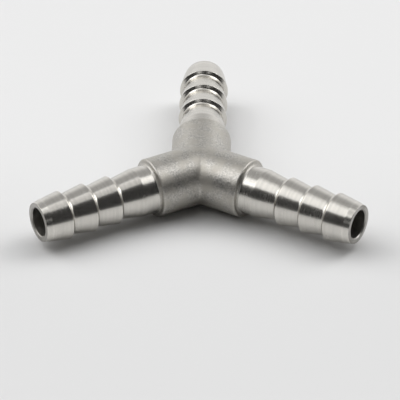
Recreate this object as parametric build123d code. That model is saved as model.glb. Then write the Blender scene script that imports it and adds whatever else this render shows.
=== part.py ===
from build123d import *

import math
import os

# An equal Y connector for flexible hose, one piece of stainless steel. Lengths are in millimetres
# and angles in degrees.
#
# Three like arms lie in one level plane, evenly spaced. Each arm is round about its own axis: a
# plain cast boss next to the centre, a flat shoulder, and a turned spigot with a plain neck and a
# row of barbs. The barbs' steep steps face the hub, so a hose slides on easily and doesn't pull
# off. A straight bore runs down each arm, and the bores meet at the centre.
#
# The origin is the point where the bore axes cross. +Z is square to the plane of the arms, and
# the first arm runs along +Y.

# The layout of the arms.
ARM_COUNT = 3
FIRST_ARM_ANGLE = 90

# The cast hub.
BOSS_DIAMETER = 10.9
BOSS_REACH = 10.4  # from the centre to the flat shoulder
BOSS_RIM_RADIUS = 0.35  # the rounded edge of the shoulder
CREASE_RADIUS = 0.6  # the cast radius in the valley between two arms

# The turned spigot, for hose of 8 mm bore.
SPIGOT_DIAMETER = 9.0  # over the neck and the barbs' crests
NECK_LENGTH = 3.0
BARB_COUNT = 4
BARB_PITCH = 4.95
BARB_STEP = 0.75  # the height of the step behind each barb
BARB_LEAN = 0.5  # how far the foot of the step lies nearer the hub than its crest
NOSE_LENGTH = 1.2  # the steeper run-in at the tip
NOSE_DROP = 0.3  # how far the run-in falls from the last barb's cone to the end face

# The bore.
BORE_DIAMETER = 5.3
MOUTH_CHAMFER = 0.2

# Sizes that follow from the driving dimensions.
ARM_SPACING = 360 / ARM_COUNT
BOSS_RADIUS = BOSS_DIAMETER / 2
CREST_RADIUS = SPIGOT_DIAMETER / 2
ROOT_RADIUS = CREST_RADIUS - BARB_STEP
BORE_RADIUS = BORE_DIAMETER / 2
NECK_END = BOSS_REACH + NECK_LENGTH
TIP_REACH = NECK_END + BARB_COUNT * BARB_PITCH
NOSE_RADIUS = ROOT_RADIUS + BARB_STEP * NOSE_LENGTH / BARB_PITCH  # where the last cone ends
FACE_RADIUS = NOSE_RADIUS - NOSE_DROP  # the rim of the flat end face


def boss_outline():
    """The boss from the centre plane to the foot of the neck, with the shoulder's rim rounded."""
    rim = min(BOSS_RIM_RADIUS, (BOSS_RADIUS - CREST_RADIUS) / 2)
    rim_start = (BOSS_REACH - rim, BOSS_RADIUS)
    rim_end = (BOSS_REACH, BOSS_RADIUS - rim)
    side = Line((0, BOSS_RADIUS), rim_start)
    edge = RadiusArc(rim_start, rim_end, rim)
    shoulder = Line(rim_end, (BOSS_REACH, CREST_RADIUS))
    return [side, edge, shoulder]


def spigot_outline():
    """The neck, the barbs with their leaning steps and the tapered nose, to the end face."""
    points = [(BOSS_REACH, CREST_RADIUS)]
    for index in range(BARB_COUNT):
        crest = NECK_END + index * BARB_PITCH
        points.append((crest, CREST_RADIUS))
        if index < BARB_COUNT - 1:
            points.append((crest + BARB_PITCH - BARB_LEAN, ROOT_RADIUS))
    points.append((TIP_REACH - NOSE_LENGTH, NOSE_RADIUS))
    points.append((TIP_REACH, FACE_RADIUS))
    return [Polyline(*points)]


def bore_outline():
    """The end face, the chamfered mouth, the bore and the wall's end in the centre plane."""
    mouth = min(MOUTH_CHAMFER, (FACE_RADIUS - BORE_RADIUS) / 2)
    points = [
        (TIP_REACH, FACE_RADIUS),
        (TIP_REACH, BORE_RADIUS + mouth),
        (TIP_REACH - mouth, BORE_RADIUS),
        (0, BORE_RADIUS),
        (0, BOSS_RADIUS),
    ]
    return [Polyline(*points)]


def arm():
    """One arm along +X, turned from its half section and mitred to meet its neighbours."""
    section = make_face(boss_outline() + spigot_outline() + bore_outline())
    turned = revolve(section, Axis.X)
    half_width = TIP_REACH * math.tan(math.radians(ARM_SPACING / 2))
    sector = make_face(
        Polyline((0, 0), (2 * TIP_REACH, 2 * half_width), (2 * TIP_REACH, -2 * half_width), close=True)
    )
    return turned & extrude(sector, BOSS_DIAMETER, both=True)


def y_connector():
    """The arms joined at their mitres, with the outer creases between them rounded."""
    first = arm()
    body = Part() + [
        Rot(0, 0, FIRST_ARM_ANGLE + index * ARM_SPACING) * first for index in range(ARM_COUNT)
    ]
    creases = body.edges().filter_by(GeomType.ELLIPSE).filter_by(
        lambda edge: (edge @ 0.5).length > BOSS_RADIUS
    )
    return fillet(creases, CREASE_RADIUS)


os.makedirs("parts", exist_ok=True)
export_step(y_connector(), "parts/y_connector.step")
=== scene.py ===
"""An equal Y connector for hose: one piece of stainless steel on a pale studio floor.

The hub is cast, with the fine grain of a blasted casting. The three spigots are turned, with a
plain neck and a row of barbs each. The bores are drilled to the middle, and the end faces are cut
dull.

Sizes in the dataclasses are in millimetres, but for the lamps' distances and the floor's extent,
which are in metres. Meshes, lamps and the camera are placed in metres, in the CAD frame: the bores
cross at the origin, +Z is square to the arms, the first arm runs along +Y.
"""

import logging
import math
from dataclasses import dataclass, field
from enum import Enum

import bpy
import numpy as np
from mathutils import Matrix, Vector


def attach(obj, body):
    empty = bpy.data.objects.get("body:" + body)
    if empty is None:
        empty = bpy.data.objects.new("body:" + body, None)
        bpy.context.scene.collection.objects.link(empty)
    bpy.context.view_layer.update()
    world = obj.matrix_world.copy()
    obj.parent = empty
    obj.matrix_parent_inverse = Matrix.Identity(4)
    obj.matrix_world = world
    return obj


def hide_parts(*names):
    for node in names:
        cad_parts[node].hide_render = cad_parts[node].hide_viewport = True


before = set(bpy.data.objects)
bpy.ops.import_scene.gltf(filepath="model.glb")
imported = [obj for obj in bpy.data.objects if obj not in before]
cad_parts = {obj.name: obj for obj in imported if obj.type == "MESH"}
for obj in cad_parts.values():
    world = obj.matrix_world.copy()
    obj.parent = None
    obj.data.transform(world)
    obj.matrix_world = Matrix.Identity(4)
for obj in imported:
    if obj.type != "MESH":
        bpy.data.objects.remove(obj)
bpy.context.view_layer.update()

LOG = logging.getLogger("y_connector")
MM = 0.001
NODE_NAME = "y_connector"
RUN_ATTRIBUTE = "section_run"
# How near each point is to a small convex edge, where the steels are painted lighter: partly wear,
# partly painted highlight.
WEAR_ATTRIBUTE = "edge_wear"
# How near each point is to a sunk corner, where the turned steel is painted darker: painted shade.
GRIME_ATTRIBUTE = "corner_grime"
UV_NAME = "turned_surface"
MITRE_SHARE = math.cos(math.pi / 3)
MITRE_HALF_TURN = math.pi / 6
NOISE_SPREAD = (0.3, 0.7)  # most of a noise's values lie between these


class Zone(Enum):
    """The three kinds of surface on the fitting, with their material slot."""

    CAST = 0
    TURNED = 1
    DRILLED = 2


# Small helpers


def mix(low: float, high: float, share: float) -> float:
    """Return the value at a share of the way from low to high."""
    return low + (high - low) * share


def deselect_all() -> None:
    """Leave object mode's selection empty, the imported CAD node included."""
    if bpy.context.mode != "OBJECT":
        bpy.ops.object.mode_set(mode="OBJECT")
    bpy.ops.object.select_all(action="DESELECT")


def make_active(piece: bpy.types.Object) -> None:
    """Select one object alone and make it the active one.

    Args:
        piece: The object that the next operators act on.
    """
    deselect_all()
    piece.select_set(True)
    bpy.context.view_layer.objects.active = piece


class Editing:
    """Edit mode on one object, as a context that always goes back to object mode."""

    def __init__(self, piece: bpy.types.Object, select_mode: str = "VERT") -> None:
        """Keep the object and the select mode.

        Args:
            piece: The mesh object to edit.
            select_mode: VERT, EDGE or FACE.
        """
        self.piece = piece
        self.select_mode = select_mode

    def __enter__(self) -> bpy.types.Object:
        """Enter edit mode.

        Returns:
            The object being edited.
        """
        make_active(self.piece)
        bpy.ops.object.mode_set(mode="EDIT")
        bpy.ops.mesh.select_mode(type=self.select_mode)
        return self.piece

    def __exit__(self, *_: object) -> None:
        """Go back to object mode."""
        bpy.ops.object.mode_set(mode="OBJECT")


# The half section


@dataclass(frozen=True)
class Corner:
    """A corner of the arm's half section, with the small radius that the tool left on it."""

    station: float
    radius: float
    rounding: float = 0.0
    convex: bool = True


@dataclass
class HalfSection:
    """The outline that is turned about an arm's axis: out along the arm, then down the bore.

    Holds are the distances from a rounding at which a ring keeps the shading flat beyond it.
    """

    corners: list[Corner]
    holds: tuple[float, ...] = (0.05, 0.25)
    hold_share: float = 0.4
    reach_share: float = 0.6
    turn_per_step: float = math.radians(20)

    def _arc(self, before: Vector, corner: Vector, after: Vector, rounding: float) -> list[Vector]:
        """Return the points that replace a corner by its rounding.

        Args:
            before: The previous corner.
            corner: The corner itself.
            after: The next corner.
            rounding: The radius to put there.

        Returns:
            The arc's points in order, or the bare corner where it has no rounding.
        """
        back, ahead = before - corner, after - corner
        if rounding <= 0:
            return [corner]
        opening = back.angle(ahead)
        turn = math.pi - opening
        shorter = min(back.length, ahead.length)
        reach = min(rounding * math.tan(turn / 2), self.reach_share * shorter)
        rounding = reach / math.tan(turn / 2)
        back, ahead = back.normalized(), ahead.normalized()
        centre = corner + (back + ahead).normalized() * rounding / math.sin(opening / 2)
        start = (corner + back * reach - centre).normalized()
        end = (corner + ahead * reach - centre).normalized()
        steps = max(2, math.ceil(turn / self.turn_per_step))
        return [centre + start.slerp(end, i / steps) * rounding for i in range(steps + 1)]

    def points(self) -> list[tuple[float, float]]:
        """Return the outline with its roundings, and with rings that hold each edge in place.

        Returns:
            Pairs of station and radius in millimetres.
        """
        spots = [Vector((c.station, c.radius)) for c in self.corners]
        arcs = [[spots[0]]]
        for i in range(1, len(spots) - 1):
            arcs.append(self._arc(spots[i - 1], spots[i], spots[i + 1], self.corners[i].rounding))
        arcs.append([spots[-1]])
        line: list[Vector] = []
        for here, following in zip(arcs, arcs[1:]):
            line.extend(here)
            start, end = here[-1], following[0]
            run = end - start
            near = [h for h in self.holds if h < self.hold_share * run.length]
            if len(here) > 1:
                line.extend(start + run.normalized() * h for h in near)
            if len(following) > 1:
                line.extend(end - run.normalized() * h for h in reversed(near))
        line.extend(arcs[-1])
        return [(p.x, p.y) for p in line]


def closeness(points: np.ndarray, spots: np.ndarray, reach: float) -> np.ndarray:
    """Say how near points of the half section are to the nearest of some corners.

    Args:
        points: Stations and radii, one row each.
        spots: The corners' stations and radii.
        reach: The distance at which the result has fallen to nothing.

    Returns:
        One at a corner and nought beyond reach.
    """
    gaps = np.linalg.norm(points[:, None, :] - spots[None, :, :], axis=2).min(axis=1)
    return np.clip(1.0 - gaps / reach, 0.0, 1.0)


# The fitting


@dataclass
class BarbedSpigot:
    """The turned end of an arm: a shoulder, a plain neck, a row of barbs and a tapered nose."""

    crest_radius: float = 4.5
    neck_end: float = 13.4
    barb_count: int = 4
    barb_pitch: float = 4.95
    barb_step: float = 0.75
    barb_lean: float = 0.5
    nose_length: float = 1.2
    nose_drop: float = 0.3
    foot_rounding: float = 0.57
    neck_rounding: float = 0.6
    crest_rounding: float = 0.08
    root_rounding: float = 0.58
    nose_rounding: float = 0.16
    face_rounding: float = 0.07

    @property
    def tip(self) -> float:
        """Return the station of the end face."""
        return self.neck_end + self.barb_count * self.barb_pitch

    @property
    def nose_radius(self) -> float:
        """Return the radius at which the last cone meets the nose."""
        fall = self.barb_step * self.nose_length / self.barb_pitch
        return self.crest_radius - self.barb_step + fall

    @property
    def face_radius(self) -> float:
        """Return the radius of the end face's rim."""
        return self.nose_radius - self.nose_drop

    def corners(self) -> list[Corner]:
        """Trace the half section from the neck's end to the rim of the end face.

        Returns:
            The corners in order.
        """
        line = [Corner(self.neck_end, self.crest_radius, self.neck_rounding)]
        for i in range(1, self.barb_count):
            step = self.neck_end + i * self.barb_pitch
            root = self.crest_radius - self.barb_step
            line.append(Corner(step - self.barb_lean, root, self.root_rounding, convex=False))
            line.append(Corner(step, self.crest_radius, self.crest_rounding))
        line.append(Corner(self.tip - self.nose_length, self.nose_radius, self.nose_rounding))
        line.append(Corner(self.tip, self.face_radius, self.face_rounding))
        return line


@dataclass
class DrilledBore:
    """The straight bore of an arm, with a small chamfer at its mouth."""

    radius: float = 2.65
    chamfer: float = 0.2
    edge_rounding: float = 0.05

    def corners(self, tip: float, inner_end: float) -> list[Corner]:
        """Trace the half section from the mouth to the middle.

        Args:
            tip: The station of the end face.
            inner_end: The station at which the bore's wall stops.

        Returns:
            The corners in order.
        """
        return [
            Corner(tip, self.radius + self.chamfer, self.edge_rounding),
            Corner(tip - self.chamfer, self.radius, self.edge_rounding),
            Corner(inner_end, self.radius),
        ]


@dataclass
class CastHub:
    """The cast middle: three round bosses that meet in soft valleys and end in flat shoulders.

    The bosses are uneven from even_until outwards. That comes in and goes out over the two fades,
    and it stops skin_depth under the bosses' radius.
    """

    boss_radius: float = 5.45
    boss_reach: float = 10.4
    rim_rounding: float = 0.35
    crease_radius: float = 0.6
    crease_steps: int = 6
    inner_end: float = -0.6
    even_until: float = 4.0
    ring_gap: float = 0.45
    unevenness: float = 0.045
    lump_size: float = 3.2
    skin_depth: float = 0.1
    fade_in: float = 1.5
    fade_out: float = 0.8
    least_weight: float = 0.001

    def corners(self, spigot: BarbedSpigot) -> list[Corner]:
        """Trace the half section from the middle to the foot of the neck.

        Args:
            spigot: The spigot that grows out of the shoulder.

        Returns:
            The corners in order.
        """
        last = self.boss_reach - 2 * self.rim_rounding
        count = round((last - self.even_until) / self.ring_gap)
        stops = [mix(self.even_until, last, i / count) for i in range(count + 1)]
        return [
            Corner(self.inner_end, self.boss_radius),
            *(Corner(stop, self.boss_radius) for stop in stops),
            Corner(self.boss_reach, self.boss_radius, self.rim_rounding),
            Corner(self.boss_reach, spigot.crest_radius, spigot.foot_rounding, convex=False),
        ]


@dataclass
class YConnector:
    """The whole fitting, modelled once as an arm, cut to its mitres, copied and joined.

    A face is in a bore where the outward part of its normal is below inward. The cast skin ends
    where the shoulder's foot has come down to skin_end of its rounding above the neck.
    """

    hub: CastHub = field(default_factory=CastHub)
    spigot: BarbedSpigot = field(default_factory=BarbedSpigot)
    bore: DrilledBore = field(default_factory=DrilledBore)
    headings: tuple[float, ...] = (90.0, 210.0, 330.0)
    sides: int = 144
    merge_gap: float = 0.002
    crease_gap: float = 0.01
    smooth_angle: float = 35.0
    inward: float = -0.3
    skin_end: float = 0.05
    sharp_rounding: float = 0.5
    wear_reach: float = 0.22
    grime_reach: float = 0.28

    def section(self) -> HalfSection:
        """Return the half section of one arm."""
        outside = self.hub.corners(self.spigot) + self.spigot.corners()
        return HalfSection(outside + self.bore.corners(self.spigot.tip, self.hub.inner_end))

    def _turn_arm(self) -> bpy.types.Object:
        """Model one arm along +X, ring by ring, as a tube with a wall.

        Returns:
            The arm's object, open at the hub's end.
        """
        rings = self.section().points()
        station, radius = rings[0]
        deselect_all()
        bpy.ops.mesh.primitive_circle_add(
            vertices=self.sides,
            radius=radius * MM,
            fill_type="NOTHING",
            location=(station * MM, 0, 0),
            rotation=(0, math.pi / 2, 0),
        )
        arm = bpy.context.object
        bpy.ops.object.transform_apply(location=True, rotation=True, scale=True)
        with Editing(arm):
            bpy.ops.mesh.select_all(action="SELECT")
            for next_station, next_radius in rings[1:]:
                shift = ((next_station - station) * MM, 0, 0)
                bpy.ops.mesh.extrude_region_move(TRANSFORM_OT_translate={"value": shift})
                scale = next_radius / radius
                pivot = (next_station * MM, 0, 0)
                bpy.ops.transform.resize(value=(1, scale, scale), center_override=pivot)
                station, radius = next_station, next_radius
        return arm

    def _cut_mitres(self, arm: bpy.types.Object) -> None:
        """Cut an arm along +X to the two upright planes where it meets its neighbours.

        Args:
            arm: The arm's object.
        """
        half = math.radians(180 / len(self.headings))
        for side in (1, -1):
            with Editing(arm):
                bpy.ops.mesh.select_all(action="SELECT")
                bpy.ops.mesh.bisect(
                    plane_co=(0, 0, 0),
                    plane_no=(-math.sin(half), side * math.cos(half), 0),
                    clear_outer=True,
                    threshold=1e-7,
                )

    def _copy_round(self, arm: bpy.types.Object) -> bpy.types.Object:
        """Set a copy of the arm at every heading, join the copies and merge their mitres.

        Args:
            arm: The arm along +X.

        Returns:
            One closed object.
        """
        copies = []
        for heading in self.headings:
            copy = arm.copy()
            copy.data = arm.data.copy()
            bpy.context.collection.objects.link(copy)
            copy.data.transform(Matrix.Rotation(math.radians(heading), 4, "Z"))
            copies.append(copy)
        bpy.data.objects.remove(arm)
        make_active(copies[0])
        for copy in copies:
            copy.select_set(True)
        bpy.ops.object.join()
        body = bpy.context.object
        with Editing(body):
            bpy.ops.mesh.select_all(action="SELECT")
            bpy.ops.mesh.remove_doubles(threshold=self.merge_gap * MM)
            bpy.ops.mesh.normals_make_consistent(inside=False)
        return body

    def _arm_coordinates(self, places: np.ndarray) -> tuple[np.ndarray, np.ndarray, np.ndarray]:
        """Give each place its station and radius on its own arm, and its turn round the axis.

        Args:
            places: Positions in millimetres, one row each.

        Returns:
            Stations, radii, and turns from nought to one.
        """
        angles = np.radians(self.headings)
        axes = np.stack([np.cos(angles), np.sin(angles)], axis=1)
        along = places[:, :2] @ axes.T
        nearest = along.argmax(axis=1)
        station = along.max(axis=1)
        own = axes[nearest]
        across = places[:, 1] * own[:, 0] - places[:, 0] * own[:, 1]
        radius = np.hypot(across, places[:, 2])
        turn = np.arctan2(places[:, 2], across) / (2 * math.pi) % 1.0
        return station, radius, turn

    def _places(self, body: bpy.types.Object) -> np.ndarray:
        """Read where a body's vertices are.

        Args:
            body: The fitting.

        Returns:
            Positions in millimetres, one row each.
        """
        flat = np.zeros(len(body.data.vertices) * 3, np.float32)
        body.data.vertices.foreach_get("co", flat)
        return flat.reshape(-1, 3).astype(float) / MM

    def _round_creases(self, body: bpy.types.Object) -> None:
        """Round the valleys between the bosses on the outside of the hub.

        Args:
            body: The joined fitting.
        """
        places = self._places(body)
        station, radius, _ = self._arm_coordinates(places)
        # On a mitre a point lies half as far along its arm as it lies from the middle.
        halfway = np.linalg.norm(places[:, :2], axis=1) * MITRE_SHARE
        on_mitre = np.isclose(station, halfway, atol=self.merge_gap)
        on_mitre &= np.isclose(radius, self.hub.boss_radius, atol=self.crease_gap)
        with Editing(body, "EDGE"):
            bpy.ops.mesh.select_all(action="DESELECT")
        count = 0
        for edge in body.data.edges:
            first, second = edge.vertices
            edge.select = bool(on_mitre[first] and on_mitre[second])
            count += edge.select
        with Editing(body, "EDGE"):
            bpy.ops.mesh.bevel(
                offset=self.hub.crease_radius * math.tan(MITRE_HALF_TURN) * MM,
                offset_type="OFFSET",
                segments=self.hub.crease_steps,
                profile=0.5,
                affect="EDGES",
                clamp_overlap=False,
            )
        LOG.info("rounded %d crease edges", count)

    def _roughen_bosses(self, body: bpy.types.Object) -> None:
        """Make the bosses slightly uneven, as cast ones are, always inwards.

        Args:
            body: The joined fitting.
        """
        station, radius, _ = self._arm_coordinates(self._places(body))
        hub = self.hub
        fade_in = np.clip((station - hub.even_until) / hub.fade_in, 0.0, 1.0)
        fade_out = np.clip((hub.boss_reach - hub.rim_rounding - station) / hub.fade_out, 0.0, 1.0)
        on_boss = radius > hub.boss_radius - hub.skin_depth
        weight = np.where(on_boss, fade_in * fade_out, 0.0)
        group = body.vertex_groups.new(name="uneven")
        for index in np.flatnonzero(weight > hub.least_weight):
            group.add([int(index)], float(weight[index]), "REPLACE")
        lumps = bpy.data.textures.new("cast_lumps", "CLOUDS")
        lumps.noise_scale = hub.lump_size * MM
        lumps.noise_depth = 2
        make_active(body)
        bpy.ops.object.modifier_add(type="DISPLACE")
        modifier = body.modifiers[-1]
        modifier.texture = lumps
        modifier.texture_coords = "LOCAL"
        modifier.vertex_group = group.name
        modifier.mid_level = 1.0
        modifier.strength = hub.unevenness * MM
        bpy.ops.object.modifier_apply(modifier=modifier.name)
        body.vertex_groups.clear()

    def _lay_uv(self, body: bpy.types.Object) -> None:
        """Lay a UV map that follows the turning: along the arm in U, round it in V.

        Args:
            body: The joined fitting.
        """
        layer = body.data.uv_layers.new(name=UV_NAME)
        station, _, turn = self._arm_coordinates(self._places(body))
        along = station / self.spigot.tip
        for face in body.data.polygons:
            turns = [turn[v] for v in face.vertices]
            wraps = max(turns) - min(turns) > 0.5
            for loop, vertex, t in zip(face.loop_indices, face.vertices, turns):
                layer.data[loop].uv = (along[vertex], t + 1.0 if wraps and t < 0.5 else t)

    def _store_measures(self, body: bpy.types.Object) -> None:
        """Store the run along the half section, and how near each point is to an edge or a corner.

        Args:
            body: The joined fitting.
        """
        station, radius, _ = self._arm_coordinates(self._places(body))
        spots = np.stack([station, radius], axis=1)
        line = np.array(self.section().points())
        starts, runs = line[:-1], np.diff(line, axis=0)
        lengths = np.linalg.norm(runs, axis=1)
        totals = np.concatenate([[0.0], np.cumsum(lengths)])
        best_gap = np.full(len(spots), np.inf)
        run = np.zeros(len(spots))
        for start, step, length, total in zip(starts, runs, lengths, totals):
            share = np.clip(((spots - start) @ step) / length**2, 0.0, 1.0)
            gap = np.linalg.norm(spots - start - share[:, None] * step, axis=1)
            closer = gap < best_gap
            best_gap[closer] = gap[closer]
            run[closer] = total + share[closer] * length
        corners = self.section().corners
        edges = [c for c in corners if c.convex and 0 < c.rounding < self.sharp_rounding]
        proud = np.array([(c.station, c.radius) for c in edges])
        sunk = np.array([(c.station, c.radius) for c in corners if not c.convex])
        measures = {
            RUN_ATTRIBUTE: run,
            # convex edges: painted lighter, partly as wear and partly as painted highlight
            WEAR_ATTRIBUTE: closeness(spots, proud, self.wear_reach),
            # sunk corners: painted shade
            GRIME_ATTRIBUTE: closeness(spots, sunk, self.grime_reach),
        }
        for name, values in measures.items():
            store = body.data.attributes.new(name=name, type="FLOAT", domain="POINT")
            store.data.foreach_set("value", values.astype(np.float32))

    def _zone_of(self, station: float, radius: float, outward: float) -> Zone:
        """Say which kind of surface a face is.

        Args:
            station: The face centre's station.
            radius: The face centre's radius.
            outward: How far the face's normal points away from the arm's axis.

        Returns:
            The kind of surface.
        """
        in_bore = outward < self.inward and radius < self.bore.radius + self.bore.chamfer
        if in_bore or station > self.spigot.tip - self.spigot.face_rounding / 2:
            return Zone.DRILLED
        foot = self.spigot.crest_radius + self.skin_end * self.spigot.foot_rounding
        on_hub = radius > foot and station < self.hub.boss_reach + self.spigot.foot_rounding
        return Zone.CAST if on_hub else Zone.TURNED

    def _assign_zones(self, body: bpy.types.Object) -> None:
        """Give each face the slot of its kind of surface.

        Args:
            body: The joined fitting.
        """
        centres = np.array([tuple(f.center) for f in body.data.polygons]) / MM
        station, radius, _ = self._arm_coordinates(centres)
        angles = np.radians(self.headings)
        axes = [Vector((math.cos(a), math.sin(a), 0)) for a in angles]
        for face, s, r in zip(body.data.polygons, station, radius):
            axis = max(axes, key=lambda a: a.dot(face.center))
            spoke = face.center - axis * axis.dot(face.center)
            outward = face.normal.dot(spoke.normalized())
            face.material_index = self._zone_of(s, r, outward).value

    def build(self) -> bpy.types.Object:
        """Model the fitting.

        Returns:
            The finished piece, with its place in its mesh.
        """
        arm = self._turn_arm()
        self._cut_mitres(arm)
        body = self._copy_round(arm)
        self._round_creases(body)
        self._roughen_bosses(body)
        body.name = body.data.name = "y_body"
        self._lay_uv(body)
        self._store_measures(body)
        self._assign_zones(body)
        make_active(body)
        bpy.ops.object.shade_smooth_by_angle(angle=math.radians(self.smooth_angle))
        return body

    def dress(self, body: bpy.types.Object, finishes: dict[Zone, bpy.types.Material]) -> None:
        """Put the finishes on and hang the piece on the frame.

        Args:
            body: The fitting.
            finishes: The material of each kind of surface.
        """
        indices = [face.material_index for face in body.data.polygons]
        body.data.materials.clear()
        for zone in Zone:
            body.data.materials.append(finishes[zone])
        body.data.polygons.foreach_set("material_index", indices)
        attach(body, "root")
        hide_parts(NODE_NAME)


# Shader building


class Nodes:
    """A node tree with short calls for adding and linking nodes."""

    def __init__(self, tree: bpy.types.NodeTree) -> None:
        """Keep the tree and empty it.

        Args:
            tree: The tree of a material, a world or a node group.
        """
        self.tree = tree
        tree.nodes.clear()
        self._column = 0

    def add(self, kind: str, **settings: object) -> bpy.types.Node:
        """Add a node.

        Args:
            kind: The node's type name.
            **settings: Properties of the node itself.

        Returns:
            The new node.
        """
        node = self.tree.nodes.new(kind)
        node.location = (self._column * 180, 0)
        self._column += 1
        for name, value in settings.items():
            setattr(node, name, value)
        return node

    def feed(self, node: bpy.types.Node, **inputs: object) -> bpy.types.Node:
        """Set or link a node's inputs by name, with underscores for spaces, or by i and a number.

        Args:
            node: The node to feed.
            **inputs: A value, or an output socket to link.

        Returns:
            The same node.
        """
        for name, value in inputs.items():
            key = name.replace("_", " ")
            numbered = key[0] == "i" and key[1:].isdigit()
            socket = node.inputs[int(key[1:]) if numbered else key]
            if isinstance(value, bpy.types.NodeSocket):
                self.tree.links.new(value, socket)
            else:
                socket.default_value = value
        return node

    def math(self, operation: str, first: object, second: object = 0.5) -> bpy.types.NodeSocket:
        """Add a Math node.

        Args:
            operation: The Math node's operation.
            first: The first value or socket.
            second: The second value or socket.

        Returns:
            The result socket.
        """
        node = self.add("ShaderNodeMath", operation=operation)
        return self.feed(node, i0=first, i1=second).outputs[0]

    def add_scaled(self, first: object, second: object, factor: float) -> bpy.types.NodeSocket:
        """Return the socket of the first value plus the second times a factor."""
        return self.math("ADD", first, self.math("MULTIPLY", second, factor))

    def remap(
        self, value: object, low: float, high: float, start: float = 0.0, end: float = 1.0
    ) -> bpy.types.NodeSocket:
        """Map a range of values smoothly onto another.

        Args:
            value: The socket to map.
            low: The value that gives start.
            high: The value that gives end.
            start: The result at low.
            end: The result at high.

        Returns:
            The result socket.
        """
        node = self.add("ShaderNodeMapRange", interpolation_type="SMOOTHSTEP")
        self.feed(node, Value=value, From_Min=low, From_Max=high, To_Min=start, To_Max=end)
        return node.outputs[0]

    def blend(
        self, share: object, first: object, second: object, kind: str = "MIX"
    ) -> bpy.types.NodeSocket:
        """Blend two colours.

        Args:
            share: How much of the second shows.
            first: The first colour or socket.
            second: The second colour or socket.
            kind: The blend type.

        Returns:
            The result socket.
        """
        node = self.add("ShaderNodeMix", data_type="RGBA", blend_type=kind)
        return self.feed(node, i0=share, i6=first, i7=second).outputs[2]

    def choose(self, share: object, first: object, second: object) -> bpy.types.NodeSocket:
        """Blend two values.

        Args:
            share: How much of the second counts.
            first: The first value or socket.
            second: The second value or socket.

        Returns:
            The result socket.
        """
        node = self.add("ShaderNodeMix", data_type="FLOAT")
        return self.feed(node, i0=share, i2=first, i3=second).outputs[0]

    def noise(
        self, vector: object, scale: object, detail: float = 3.0, rough: float = 0.55
    ) -> bpy.types.NodeSocket:
        """Add a noise texture.

        Args:
            vector: The coordinate socket.
            scale: The noise's scale, per metre.
            detail: How many finer layers it has.
            rough: How strong the finer layers are.

        Returns:
            The value socket.
        """
        node = self.add("ShaderNodeTexNoise")
        self.feed(node, Vector=vector, Scale=scale, Detail=detail, Roughness=rough)
        return node.outputs[0]


class SharedGroup:
    """A node group that several finishes use, made once."""

    name = ""
    inputs: tuple[tuple[str, str, object], ...] = ()
    outputs: tuple[tuple[str, str], ...] = ()

    def __init__(self) -> None:
        """Make the group's sockets and fill its tree."""
        self.tree = bpy.data.node_groups.new(self.name, "ShaderNodeTree")
        for label, kind, default in self.inputs:
            socket = self.tree.interface.new_socket(label, in_out="INPUT", socket_type=kind)
            if default is not None:
                socket.default_value = default
        for label, kind in self.outputs:
            self.tree.interface.new_socket(label, in_out="OUTPUT", socket_type=kind)
        nodes = Nodes(self.tree)
        source = nodes.add("NodeGroupInput")
        sink = nodes.add("NodeGroupOutput")
        for label, socket in self.fill(nodes, source).items():
            self.tree.links.new(socket, sink.inputs[label])

    def fill(self, nodes: Nodes, source: bpy.types.Node) -> dict[str, bpy.types.NodeSocket]:
        """Build the effect; each group writes its own.

        Args:
            nodes: The group's tree.
            source: The group's input node.

        Returns:
            The socket for each output.
        """
        raise NotImplementedError

    def place(self, nodes: Nodes, **values: object) -> bpy.types.Node:
        """Put the group into a material.

        Args:
            nodes: The material's tree.
            **values: The group's inputs.

        Returns:
            The group node.
        """
        node = nodes.add("ShaderNodeGroup", node_tree=self.tree)
        return nodes.feed(node, **values)


class MetalGrain(SharedGroup):
    """Fine grain and broad mottling, as on blasted or pickled steel."""

    name = "metal_grain"
    inputs = (
        ("Place", "NodeSocketVector", None),
        ("Grain Scale", "NodeSocketFloat", 5000.0),
        ("Mottle Scale", "NodeSocketFloat", 400.0),
    )
    outputs = tuple((label, "NodeSocketFloat") for label in ("Grain", "Mottle", "Pits"))

    def fill(self, nodes: Nodes, source: bpy.types.Node) -> dict[str, bpy.types.NodeSocket]:
        """Build grain, mottling and pits.

        Args:
            nodes: The group's tree.
            source: The group's input node.

        Returns:
            The socket for each output.
        """
        place = source.outputs["Place"]
        grain = nodes.noise(place, source.outputs["Grain Scale"], 4.0, 0.62)
        mottle = nodes.noise(place, source.outputs["Mottle Scale"], 3.0, 0.5)
        cells = nodes.add("ShaderNodeTexVoronoi", feature="F1")
        nodes.feed(cells, Vector=place, Scale=source.outputs["Grain Scale"], Randomness=1.0)
        pits = nodes.remap(cells.outputs["Distance"], 0.0, 0.45, 1.0, 0.0)
        return {"Grain": grain, "Mottle": mottle, "Pits": pits}


class TurningRings(SharedGroup):
    """The fine rings that a tool leaves as the work turns, as a height and a shade."""

    name = "turning_rings"
    inputs = (("Run", "NodeSocketFloat", 0.0), ("Rings Per Mm", "NodeSocketFloat", 12.0))
    outputs = (("Height", "NodeSocketFloat"), ("Shade", "NodeSocketFloat"))

    def fill(self, nodes: Nodes, source: bpy.types.Node) -> dict[str, bpy.types.NodeSocket]:
        """Build fine rings and broader bands along the run.

        Args:
            nodes: The group's tree.
            source: The group's input node.

        Returns:
            The socket for each output.
        """
        along = nodes.math("MULTIPLY", source.outputs["Run"], source.outputs["Rings Per Mm"])
        fine = nodes.add("ShaderNodeTexNoise", noise_dimensions="1D")
        nodes.feed(fine, W=along, Scale=1.0, Detail=2.0, Roughness=0.6)
        broad = nodes.add("ShaderNodeTexNoise", noise_dimensions="1D")
        nodes.feed(broad, W=source.outputs["Run"], Scale=1.7, Detail=2.0, Roughness=0.5)
        return {"Height": fine.outputs[0], "Shade": broad.outputs[0]}


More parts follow.
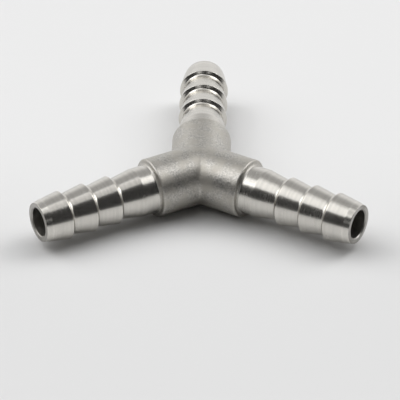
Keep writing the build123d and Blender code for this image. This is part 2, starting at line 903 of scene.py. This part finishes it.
class BrokenMask(SharedGroup):
    """A mask from a stored measure, broken up so that it isn't an even band."""

    name = "broken_mask"
    inputs = (
        ("Measure", "NodeSocketFloat", 0.0),
        ("Place", "NodeSocketVector", None),
        ("Break Scale", "NodeSocketFloat", 1500.0),
    )
    outputs = (("Mask", "NodeSocketFloat"),)

    def fill(self, nodes: Nodes, source: bpy.types.Node) -> dict[str, bpy.types.NodeSocket]:
        """Break the measure up with noise.

        Args:
            nodes: The group's tree.
            source: The group's input node.

        Returns:
            The socket for each output.
        """
        breaks = nodes.noise(source.outputs["Place"], source.outputs["Break Scale"], 2.0, 0.5)
        weight = nodes.remap(breaks, 0.25, 0.75, 0.45, 1.0)
        return {"Mask": nodes.math("MULTIPLY", source.outputs["Measure"], weight)}


@dataclass
class GroupLibrary:
    """The shared effects, each built once."""

    grain: MetalGrain = field(default_factory=MetalGrain)
    rings: TurningRings = field(default_factory=TurningRings)
    mask: BrokenMask = field(default_factory=BrokenMask)


def grey(value: float, warmth: float = 0.0) -> tuple[float, float, float, float]:
    """Return a grey, pulled towards yellow by its warmth."""
    return (value * (1 + warmth), value, value * (1 - 2 * warmth), 1.0)


class Finish:
    """What every finish shares: its empty material and its coordinates."""

    def _start(self, name: str) -> tuple[bpy.types.Material, Nodes]:
        """Make an empty material.

        Args:
            name: The material's name.

        Returns:
            The material and its tree.
        """
        material = bpy.data.materials.new(name)
        material.use_nodes = True
        return material, Nodes(material.node_tree)

    def _place(self, nodes: Nodes) -> bpy.types.NodeSocket:
        """Return the socket of the piece's own coordinates."""
        return nodes.add("ShaderNodeTexCoord").outputs["Object"]


class SteelFinish(Finish):
    """What the steel finishes share: their tones, grain, stored measures and shader.

    Speckle, bands, and names that end in _tone, _tones or _warmth are factors of the finish's own
    tone and warmth. Names that end in _roughness or _drift are added to its roughness. A share says
    how much of a colour or a height is mixed in.
    """

    tone: float
    warmth: float
    grain_per_metre: float
    mottle_per_metre: float

    def _measure(self, nodes: Nodes, name: str) -> bpy.types.NodeSocket:
        """Return the socket of a measure that is stored on the mesh."""
        return nodes.add("ShaderNodeAttribute", attribute_name=name).outputs["Fac"]

    def _mask(
        self, nodes: Nodes, groups: GroupLibrary, place: object, name: str
    ) -> bpy.types.NodeSocket:
        """Return the socket of a stored measure that the shared mask has broken up."""
        measure = self._measure(nodes, name)
        return groups.mask.place(nodes, Measure=measure, Place=place).outputs["Mask"]

    def _grain(self, nodes: Nodes, groups: GroupLibrary, place: object) -> bpy.types.Node:
        """Return the shared grain, placed at the finish's own scales."""
        scales = {"Grain_Scale": self.grain_per_metre, "Mottle_Scale": self.mottle_per_metre}
        return groups.grain.place(nodes, Place=place, **scales)

    def _tone(self, factor: float, yellower: float = 1.0) -> tuple[float, float, float, float]:
        """Return the steel's own colour, made lighter or darker and perhaps yellower."""
        return grey(self.tone * factor, self.warmth * yellower)

    def _shade(
        self,
        nodes: Nodes,
        colour: object,
        rough: object,
        height: object,
        depth: float,
        strength: float,
    ) -> None:
        """Finish a material with a metal shader and its bump.

        Args:
            nodes: The material's tree.
            colour: The base colour's socket.
            rough: The roughness' socket.
            height: The bump's height socket.
            depth: The bump's depth in millimetres.
            strength: The bump's strength.
        """
        bump = nodes.add("ShaderNodeBump")
        nodes.feed(bump, Height=height, Distance=depth * MM, Strength=strength)
        shader = nodes.add("ShaderNodeBsdfPrincipled")
        nodes.feed(shader, Base_Color=colour, Roughness=rough, Metallic=1.0, Normal=bump.outputs[0])
        nodes.feed(nodes.add("ShaderNodeOutputMaterial"), Surface=shader.outputs[0])


@dataclass(frozen=True)
class CastSteel(SteelFinish):
    """Blasted cast stainless steel: even grey, fine bright and dark grain, soft sheen."""

    tone: float = 0.46
    warmth: float = 0.03
    roughness: float = 0.40
    grain_per_metre: float = 3000.0
    mottle_per_metre: float = 420.0
    grain_depth: float = 0.085
    grain_strength: float = 0.55
    pit_share: float = -0.35
    speckle: tuple[float, float] = (0.68, 1.26)
    patch_tone: float = 0.97
    patch_warmth: float = 1.6
    # edges painted a little lighter, partly as wear and partly as painted highlight
    worn_tone: float = 1.05
    worn_roughness: float = -0.04
    roughness_drift: tuple[float, float] = (-0.04, 0.05)

    def make(self, groups: GroupLibrary) -> bpy.types.Material:
        """Build the material.

        Args:
            groups: The shared effects.

        Returns:
            The material.
        """
        material, nodes = self._start("cast_steel")
        place = self._place(nodes)
        grain = self._grain(nodes, groups, place)
        worn = self._mask(nodes, groups, place, WEAR_ATTRIBUTE)
        patches = grain.outputs["Mottle"]
        dark, light = (self._tone(factor) for factor in self.speckle)
        smoothest, roughest = (self.roughness + drift for drift in self.roughness_drift)
        tone = nodes.blend(nodes.remap(grain.outputs["Grain"], 0.32, 0.68), dark, light)
        patch = self._tone(self.patch_tone, self.patch_warmth)
        tone = nodes.blend(nodes.remap(patches, *NOISE_SPREAD), tone, patch)
        # edges painted lighter: partly wear, partly painted highlight
        tone = nodes.blend(worn, tone, self._tone(self.worn_tone))
        rough = nodes.remap(patches, *NOISE_SPREAD, smoothest, roughest)
        rough = nodes.add_scaled(rough, worn, self.worn_roughness)
        height = nodes.add_scaled(grain.outputs["Grain"], grain.outputs["Pits"], self.pit_share)
        self._shade(nodes, tone, rough, height, self.grain_depth, self.grain_strength)
        return material


@dataclass(frozen=True)
class TurnedSteel(SteelFinish):
    """Turned stainless steel: bright, with rings round the axis, smoother crests painted brighter
    partly as wear and partly as painted highlight, and painted shade in its sunk corners.
    """

    tone: float = 0.59
    warmth: float = 0.034
    roughness: float = 0.21
    grain_per_metre: float = 9000.0
    mottle_per_metre: float = 260.0
    grain_share: float = 0.15
    rings_per_mm: float = 14.0
    ring_depth: float = 0.0016
    ring_strength: float = 0.8
    bands: tuple[float, float] = (0.95, 1.04)
    ring_tone: float = 1.10
    ring_share: float = 0.35
    # crests and rims painted brighter: partly wear, partly painted highlight
    worn_tone: float = 1.22
    # painted shade: darker, warmer sunk corners, which are also a little rougher
    grime_tone: float = 0.6
    grime_warmth: float = 2.0
    grime_share: float = 0.3
    grime_roughness: float = 0.08
    smudge_roughness: float = 0.06
    roughness_drift: tuple[float, float] = (-0.03, 0.04)

    def make(self, groups: GroupLibrary) -> bpy.types.Material:
        """Build the material.

        Args:
            groups: The shared effects.

        Returns:
            The material.
        """
        material, nodes = self._start("turned_steel")
        place = self._place(nodes)
        run = self._measure(nodes, RUN_ATTRIBUTE)
        rings = groups.rings.place(nodes, Run=run, Rings_Per_Mm=self.rings_per_mm)
        grain = self._grain(nodes, groups, place)
        worn = self._mask(nodes, groups, place, WEAR_ATTRIBUTE)
        dirt = self._mask(nodes, groups, place, GRIME_ATTRIBUTE)
        ring = rings.outputs["Height"]
        dark, light = (self._tone(factor) for factor in self.bands)
        smoothest, roughest = (self.roughness + drift for drift in self.roughness_drift)
        tone = nodes.blend(nodes.remap(rings.outputs["Shade"], *NOISE_SPREAD), dark, light)
        bright = nodes.remap(ring, *NOISE_SPREAD, 0.0, self.ring_share)
        tone = nodes.blend(bright, tone, self._tone(self.ring_tone))
        # crests and rims painted brighter: partly wear, partly painted highlight
        tone = nodes.blend(worn, tone, self._tone(self.worn_tone))
        # painted shade: the sunk corners are darkened and warmed
        stain = nodes.math("MULTIPLY", dirt, self.grime_share)
        tone = nodes.blend(stain, tone, self._tone(self.grime_tone, self.grime_warmth))
        rough = nodes.remap(ring, 0.25, 0.75, smoothest, roughest)
        smudge = nodes.remap(grain.outputs["Mottle"], 0.45, 0.75, 0.0, self.smudge_roughness)
        rough = nodes.add_scaled(nodes.math("ADD", rough, smudge), dirt, self.grime_roughness)
        height = nodes.add_scaled(ring, grain.outputs["Grain"], self.grain_share)
        self._shade(nodes, tone, rough, height, self.ring_depth, self.ring_strength)
        return material


@dataclass(frozen=True)
class DrilledSteel(SteelFinish):
    """The bores' walls and the end faces: duller, darker steel with coarser rings from the cut."""

    tone: float = 0.40
    warmth: float = 0.03
    roughness: float = 0.38
    grain_per_metre: float = 3500.0
    mottle_per_metre: float = 300.0
    grain_share: float = 0.3
    rings_per_mm: float = 5.0
    ring_depth: float = 0.006
    ring_strength: float = 0.8
    ring_tones: tuple[float, float] = (0.8, 1.15)
    stain_tone: float = 0.6
    stain_warmth: float = 2.0
    stain_share: float = 0.6
    roughness_drift: tuple[float, float] = (-0.06, 0.1)

    def make(self, groups: GroupLibrary) -> bpy.types.Material:
        """Build the material.

        Args:
            groups: The shared effects.

        Returns:
            The material.
        """
        material, nodes = self._start("drilled_steel")
        place = self._place(nodes)
        run = self._measure(nodes, RUN_ATTRIBUTE)
        rings = groups.rings.place(nodes, Run=run, Rings_Per_Mm=self.rings_per_mm)
        grain = self._grain(nodes, groups, place)
        ring, patches = rings.outputs["Height"], grain.outputs["Mottle"]
        dark, light = (self._tone(factor) for factor in self.ring_tones)
        smoothest, roughest = (self.roughness + drift for drift in self.roughness_drift)
        tone = nodes.blend(nodes.remap(ring, *NOISE_SPREAD), dark, light)
        stain = nodes.remap(patches, 0.4, 0.7, 0.0, self.stain_share)
        tone = nodes.blend(stain, tone, self._tone(self.stain_tone, self.stain_warmth))
        rough = nodes.remap(patches, *NOISE_SPREAD, smoothest, roughest)
        height = nodes.add_scaled(ring, grain.outputs["Grain"], self.grain_share)
        self._shade(nodes, tone, rough, height, self.ring_depth, self.ring_strength)
        return material


@dataclass(frozen=True)
class PaleFloor(Finish):
    """The studio's matt, nearly white floor, with painted light: its colour is a little paler
    towards the back, standing in for light that falls off towards the front.

    The turn is where it goes over to the paler tone, in metres along Y.
    """

    tone: float = 0.705
    back_tone: float = 0.772
    turn: tuple[float, float] = (-0.03, 0.02)
    roughness: float = 0.85

    def make(self) -> bpy.types.Material:
        """Build the material.

        Returns:
            The material.
        """
        material, nodes = self._start("pale_floor")
        place = self._place(nodes)
        along = nodes.feed(nodes.add("ShaderNodeSeparateXYZ"), Vector=place).outputs["Y"]
        # painted light: the floor's colour turns paler towards the back
        share = nodes.remap(along, *self.turn)
        tone = nodes.blend(share, grey(self.tone), grey(self.back_tone))
        drift = nodes.remap(nodes.noise(place, 6.0, 2.0), *NOISE_SPREAD, 0.99, 1.0)
        tone = nodes.blend(1.0, tone, nodes.blend(drift, grey(0.0), grey(1.0)), "MULTIPLY")
        shader = nodes.add("ShaderNodeBsdfPrincipled")
        nodes.feed(shader, Base_Color=tone, Roughness=self.roughness, Specular_IOR_Level=0.1)
        nodes.feed(nodes.add("ShaderNodeOutputMaterial"), Surface=shader.outputs[0])
        return material


# The studio


@dataclass(frozen=True)
class PhotoCamera:
    """A camera where the photograph was taken from, on the fitted line of sight."""

    distance: float = 809.0
    focal_pixels: float = 4429.02
    frame_pixels: float = 400.0
    centre_pixel: tuple[float, float] = (200.414, 173.030)
    elevation: float = 33.416
    yaw: float = -1.638
    roll: float = 0.526
    sensor: float = 36.0
    nearest: float = 10.0
    farthest: float = 50000.0

    def make(self) -> bpy.types.Object:
        """Create the camera and make it the scene's.

        Returns:
            The camera's object.
        """
        data = bpy.data.cameras.new("photo_camera")
        data.sensor_width = self.sensor
        data.lens = self.focal_pixels / self.frame_pixels * self.sensor
        data.clip_start, data.clip_end = self.nearest * MM, self.farthest * MM
        camera = bpy.data.objects.new("photo_camera", data)
        bpy.context.collection.objects.link(camera)
        rise, turn = math.radians(self.elevation), math.radians(self.roll)
        right = Vector((1, 0, 0))
        up = Vector((0, math.sin(rise), math.cos(rise)))
        ahead = Vector((0, math.cos(rise), -math.sin(rise)))
        frame_right = right * math.cos(turn) - up * math.sin(turn)
        frame_up = right * math.sin(turn) + up * math.cos(turn)
        scale = self.distance / self.focal_pixels
        aside = (self.centre_pixel[0] - self.frame_pixels / 2) * scale
        above = -(self.centre_pixel[1] - self.frame_pixels / 2) * scale
        place = -ahead * self.distance - frame_right * aside - frame_up * above
        axes = Matrix((frame_right, frame_up, -ahead)).transposed().to_4x4()
        pose = Matrix.Translation(place * MM) @ axes
        camera.matrix_world = Matrix.Rotation(-math.radians(self.yaw), 4, "Z") @ pose
        bpy.context.scene.camera = camera
        return camera


def add_lamp(
    name: str, width: float, depth: float, radiance: float, pose: Matrix
) -> bpy.types.Object:
    """Add a rectangular lamp that the camera doesn't see.

    Args:
        name: The lamp's name.
        width: Its size along its own X, in metres.
        depth: Its size along its own Y, in metres.
        radiance: How bright its face is.
        pose: Where it is and which way it faces.

    Returns:
        The lamp's object.
    """
    data = bpy.data.lights.new(name, "AREA")
    data.shape = "RECTANGLE"
    data.size, data.size_y = width, depth
    data.energy = radiance * math.pi * width * depth
    lamp = bpy.data.objects.new(name, data)
    lamp.matrix_world = pose
    lamp.visible_camera = False
    bpy.context.collection.objects.link(lamp)
    return lamp


@dataclass(frozen=True)
class SoftBox:
    """A flat lamp that faces the fitting, given by the patch of sky that it fills."""

    name: str
    azimuth: float
    elevation: float
    breadth: float
    rise: float
    radiance: float
    distance: float = 1.6

    def make(self) -> bpy.types.Object:
        """Create the lamp, square to its line to the fitting.

        Returns:
            The lamp's object.
        """
        width = 2 * self.distance * math.tan(math.radians(self.breadth / 2))
        depth = 2 * self.distance * math.tan(math.radians(self.rise / 2))
        turn = Matrix.Rotation(-math.radians(self.azimuth), 4, "Z")
        tilt = Matrix.Rotation(math.radians(self.elevation) + math.pi / 2, 4, "X")
        out = Matrix.Translation((0, 0, -self.distance)) @ Matrix.Rotation(math.pi, 4, "Y")
        return add_lamp(self.name, width, depth, self.radiance, turn @ tilt @ out)


@dataclass(frozen=True)
class OverheadPanel:
    """A level lamp above the fitting, given by how far it reaches each way per unit of height."""

    name: str
    left: float
    right: float
    front: float
    back: float
    radiance: float
    height: float = 1.6

    def make(self) -> bpy.types.Object:
        """Create the lamp, facing straight down.

        Returns:
            The lamp's object.
        """
        width, depth = self.left + self.right, self.front + self.back
        aside, behind = (self.right - self.left) / 2, (self.back - self.front) / 2
        pose = Matrix.Translation(Vector((aside, behind, 1.0)) * self.height)
        return add_lamp(self.name, width * self.height, depth * self.height, self.radiance, pose)


@dataclass(frozen=True)
class FrontPanel:
    """A small soft panel on the camera's side, given by the headings that it fills.

    Side, rise and front are ranges of X, Z and Y in a heading of length one.
    """

    side: tuple[float, float]
    level: float
    rise: tuple[float, float] = (0.40, 0.56)
    front: tuple[float, float] = (-0.60, -0.50)
    softness: float = 0.03

    def show(self, nodes: Nodes, heading: bpy.types.Node) -> bpy.types.NodeSocket:
        """Build the panel's level towards each heading.

        Args:
            nodes: The world's tree.
            heading: The node that splits the heading into its parts.

        Returns:
            The level's socket.
        """
        panel = nodes.remap(heading.outputs["Y"], *self.front, self.level, 0.0)
        soft = self.softness
        for axis, (low, high) in (("X", self.side), ("Z", self.rise)):
            part = heading.outputs[axis]
            panel = nodes.math("MULTIPLY", panel, nodes.remap(part, low - soft, low + soft))
            ending = nodes.remap(part, high - soft, high + soft, 1.0, 0.0)
            panel = nodes.math("MULTIPLY", panel, ending)
        return panel


@dataclass
class Studio:
    """The floor, the lamps at the sides and overhead, and the room that the fitting reflects.

    The ranges, from room_from to fill_from, are of X, Y or Z in a heading of length one.
    """

    floor_level: float = -CastHub.boss_radius
    floor_size: float = 8.0
    pale: float = 0.86
    horizon: float = 0.97
    above: float = 0.42
    unlit: float = 0.03
    back_glow: float = 1.95
    side_fill: float = 0.75
    least_fill: float = 0.02
    room_from: tuple[float, float] = (-0.15, 0.35)
    wall_ends: tuple[float, float] = (0.25, 0.75)
    glow_above: tuple[float, float] = (0.60, 0.85)
    glow_from: tuple[float, float] = (-0.10, 0.30)
    fill_from: tuple[float, float] = (0.65, 0.95)
    panels: tuple[FrontPanel, ...] = (
        FrontPanel((-0.31, -0.13), 1.5),
        FrontPanel((0.15, 0.28), 1.1),
    )
    lamps: tuple[SoftBox | OverheadPanel, ...] = (
        SoftBox("right_softbox", 66.0, 41.0, 33.0, 29.0, 3.1),
        SoftBox("left_softbox", 285.0, 41.0, 46.0, 29.0, 2.3),
        OverheadPanel("overhead_left", 0.94, -0.08, 0.60, 0.18, 1.35),
        OverheadPanel("overhead_middle", 0.10, 0.28, 0.32, 0.30, 0.70),
        OverheadPanel("overhead_right", -0.28, 0.70, 0.24, 0.32, 1.35),
    )

    def _lay_floor(self) -> bpy.types.Object:
        """Lay the floor that the hub stands on.

        Returns:
            The floor's object.
        """
        deselect_all()
        place = (0, 0, self.floor_level * MM)
        bpy.ops.mesh.primitive_plane_add(size=self.floor_size, location=place)
        floor = bpy.context.object
        bpy.ops.object.transform_apply(location=True, rotation=True, scale=True)
        floor.name = floor.data.name = "studio_floor"
        floor.data.materials.append(PaleFloor().make())
        return floor

    def _light_room(self) -> None:
        """Light the room round the fitting.

        Polished surfaces see a room that is pale behind the fitting, dimmer above it and unlit on
        the camera's side but for two small panels. Matt ones get a soft glow from high behind and a
        little from both sides.
        """
        world = bpy.data.worlds.new("studio_room")
        bpy.context.scene.world = world
        world.use_nodes = True
        nodes = Nodes(world.node_tree)
        heading = nodes.add("ShaderNodeSeparateXYZ")
        nodes.feed(heading, Vector=nodes.add("ShaderNodeTexCoord").outputs["Generated"])
        behind = nodes.remap(heading.outputs["Y"], *self.room_from)
        wall = nodes.remap(heading.outputs["Z"], *self.wall_ends, self.horizon, self.above)
        room = nodes.math("MULTIPLY", behind, wall)
        room = nodes.math("MAXIMUM", room, self.unlit)
        for panel in self.panels:
            room = nodes.math("MAXIMUM", room, panel.show(nodes, heading))
        high = nodes.remap(heading.outputs["Z"], *self.glow_above)
        back = nodes.remap(heading.outputs["Y"], *self.glow_from, 0.0, self.back_glow)
        glow = nodes.math("MULTIPLY", high, back)
        aside = nodes.math("ABSOLUTE", heading.outputs["X"])
        fill = nodes.remap(aside, *self.fill_from, self.least_fill, self.side_fill)
        soft = nodes.math("MAXIMUM", glow, fill)
        rays = nodes.add("ShaderNodeLightPath")
        level = nodes.choose(rays.outputs["Is Glossy Ray"], soft, room)
        level = nodes.choose(rays.outputs["Is Camera Ray"], level, self.pale)
        light = nodes.feed(nodes.add("ShaderNodeBackground"), Color=grey(1.0), Strength=level)
        nodes.feed(nodes.add("ShaderNodeOutputWorld"), Surface=light.outputs[0])

    def build(self) -> None:
        """Set the studio up."""
        self._lay_floor()
        self._light_room()
        for lamp in self.lamps:
            lamp.make()


def main() -> None:
    """Build the camera, the studio and the fitting, in that order."""
    logging.basicConfig(level=logging.INFO, format="%(name)s: %(message)s")
    bpy.context.scene.view_settings.view_transform = "Standard"
    PhotoCamera().make()
    Studio().build()
    LOG.info("studio ready")
    groups = GroupLibrary()
    finishes = {
        Zone.CAST: CastSteel().make(groups),
        Zone.TURNED: TurnedSteel().make(groups),
        Zone.DRILLED: DrilledSteel().make(groups),
    }
    fitting = YConnector()
    body = fitting.build()
    fitting.dress(body, finishes)
    LOG.info("%s: %d faces", body.name, len(body.data.polygons))


if __name__ == "__main__":
    main()
